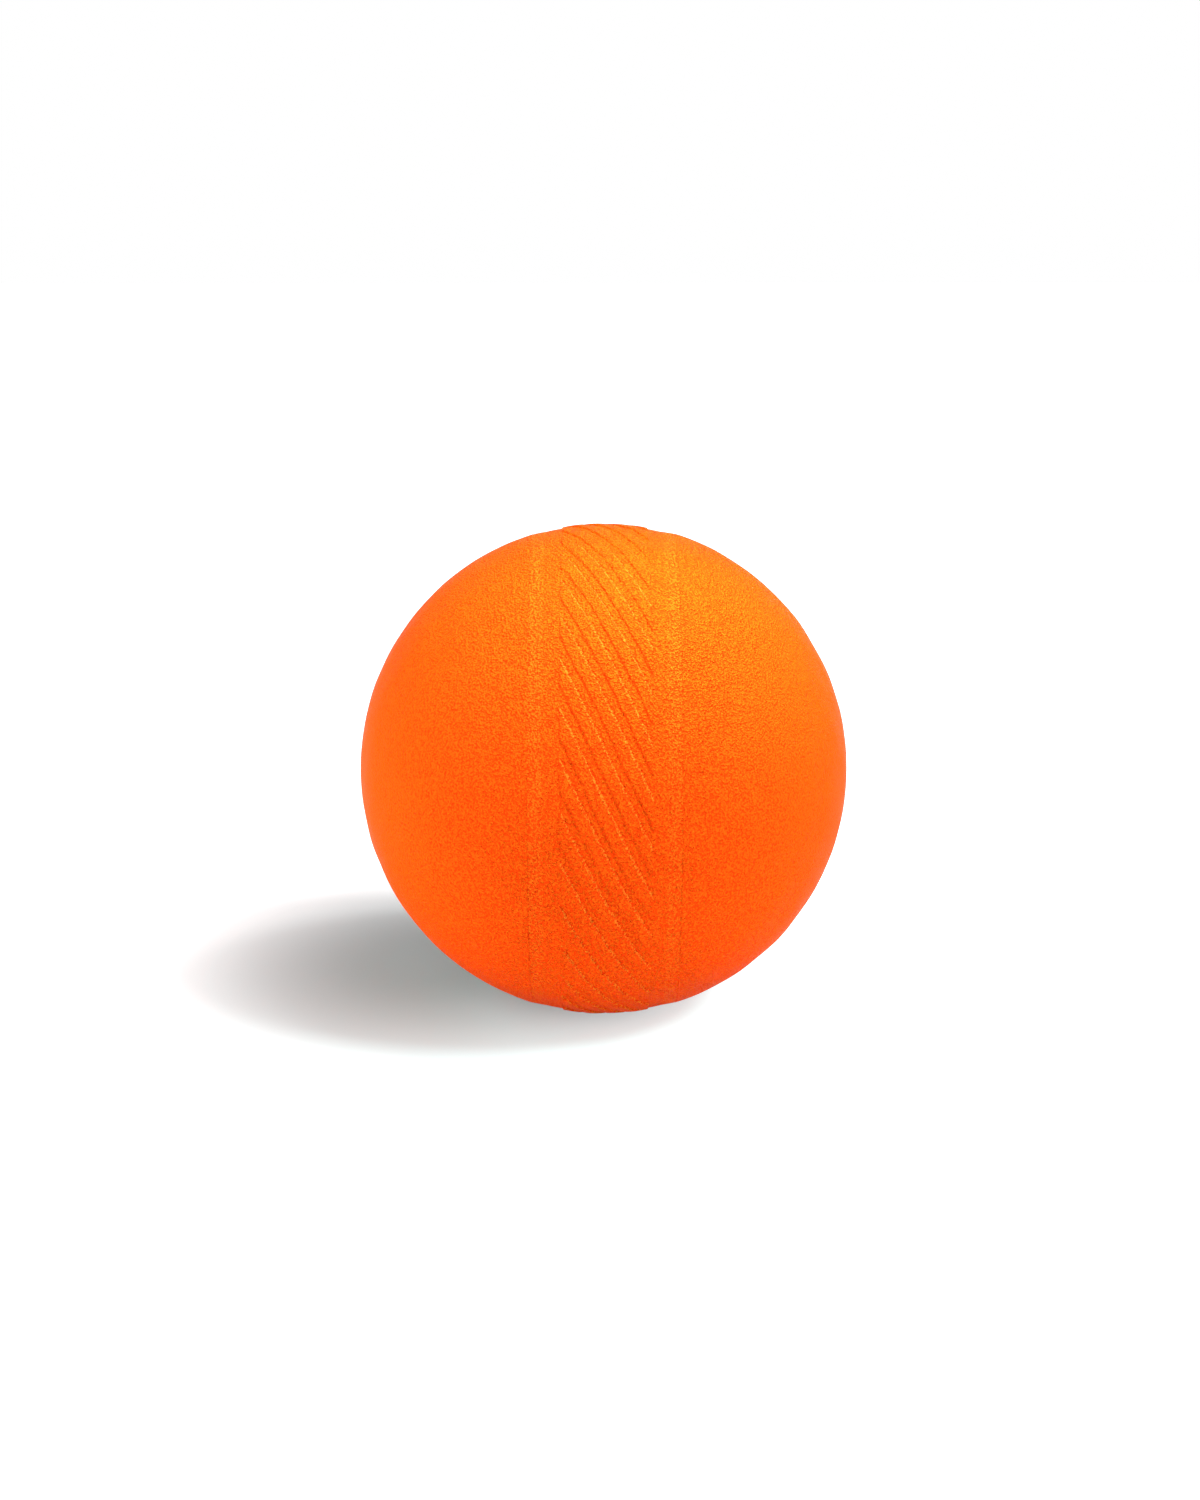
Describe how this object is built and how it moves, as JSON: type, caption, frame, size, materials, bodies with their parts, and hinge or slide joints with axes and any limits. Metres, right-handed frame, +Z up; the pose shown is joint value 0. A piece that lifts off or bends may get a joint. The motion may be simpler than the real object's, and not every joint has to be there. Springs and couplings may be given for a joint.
{
  "type": "foam cricket ball",
  "caption": "Soft foam cricket ball: a light foam core in moulded foam covers, with a moulded seam belt of slanted ribs round the middle.",
  "frame": {"origin": "centre of the ball", "axes": "+X along the axis of the seam, to the middle of the right cover; the seam belt lies in the YZ plane; -Y is the front, +Z is up"},
  "size_m": [0.0714, 0.072, 0.072],
  "materials": {
    "cover_foam": "satin moulded foam skin with a fine pebbled grain",
    "belt_foam": "satin moulded foam skin with a fine pebbled grain",
    "core_foam": "matt open foam"
  },
  "bodies": {
    "root": {"foam_core": "core_foam", "cover_right": "cover_foam", "cover_left": "cover_foam", "seam_belt": "belt_foam"}
  },
  "joints": []
}
